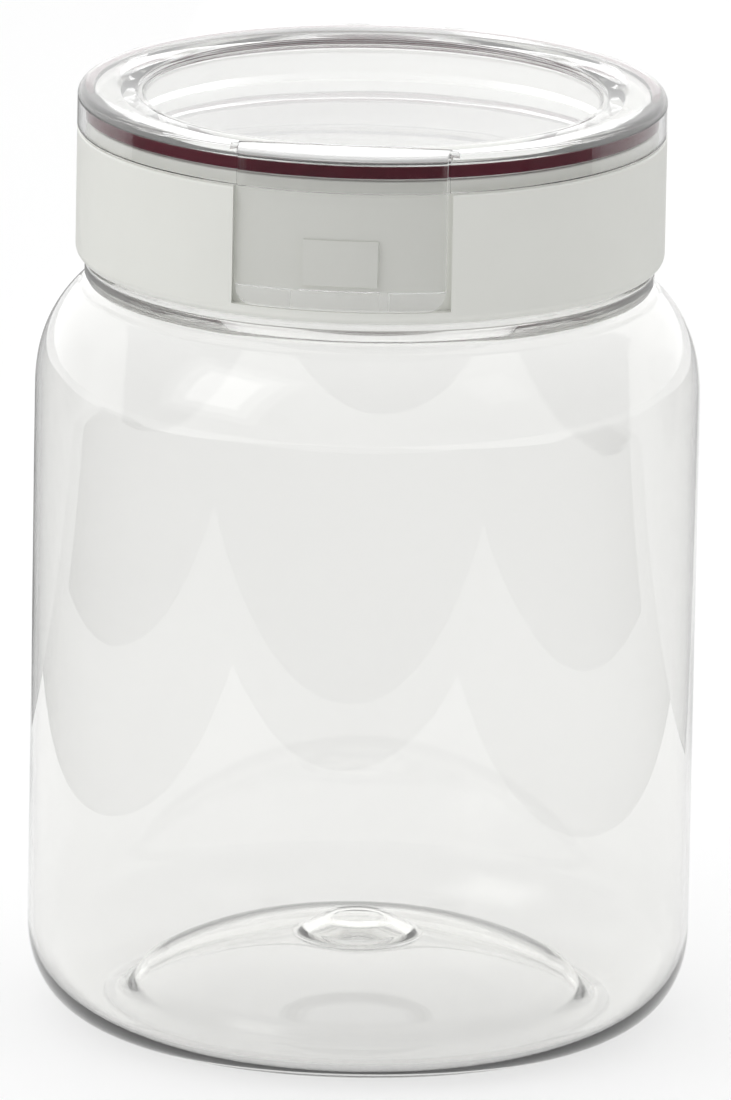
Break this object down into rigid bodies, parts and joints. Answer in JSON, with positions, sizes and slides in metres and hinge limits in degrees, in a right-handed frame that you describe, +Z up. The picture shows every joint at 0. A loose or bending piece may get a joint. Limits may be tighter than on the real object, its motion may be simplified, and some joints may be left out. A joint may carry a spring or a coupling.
{
  "type": "food canister",
  "caption": "Clear round food canister with a white screw collar, a clear flip lid held by a front latch, and maroon sealing rings.",
  "frame": {"origin": "centre of the base, on the surface the canister stands on", "axes": "+Z up along the jar's axis, -Y to the front latch, +Y to the lid's hinge, +X to the right as seen from the front"},
  "size_m": [0.11, 0.11, 0.1572],
  "materials": {
    "jar_clear": "clear polished plastic",
    "seal_maroon": "soft satin silicone",
    "collar_white": "satin moulded plastic",
    "pin_steel": "drawn steel",
    "lid_clear": "clear polished plastic",
    "gasket_maroon": "soft satin silicone",
    "latch_clear": "clear polished plastic"
  },
  "bodies": {
    "jar": {"jar_body": "jar_clear"},
    "seal": {"mouth_seal": "seal_maroon"},
    "collar": {"collar_ring": "collar_white", "hinge_pin": "pin_steel"},
    "lid": {"lid_cap": "lid_clear", "lid_gasket": "gasket_maroon"},
    "latch": {"latch": "latch_clear"}
  },
  "joints": [
    {"name": "collar_rise", "type": "slide", "parent": "jar", "child": "seal", "axis": [0, 0, 1], "range_m": [0, 0.00583]},
    {"name": "collar_turn", "type": "hinge", "parent": "seal", "child": "collar", "pos_m": [0, 0, 0.137], "axis": [0, 0, 1], "range_deg": [0, 420]},
    {"name": "lid_open", "type": "hinge", "parent": "collar", "child": "lid", "pos_m": [0, 0.0512, 0.151], "axis": [-1, 0, 0], "range_deg": [0, 115]},
    {"name": "latch_flip", "type": "hinge", "parent": "lid", "child": "latch", "pos_m": [0, -0.0432, 0.15645], "axis": [-1, 0, 0], "range_deg": [0, 90]}
  ],
  "couplings": [
    {"joint": "collar_rise", "follows": "collar_turn", "m_per_rad": 0.00079577}
  ]
}
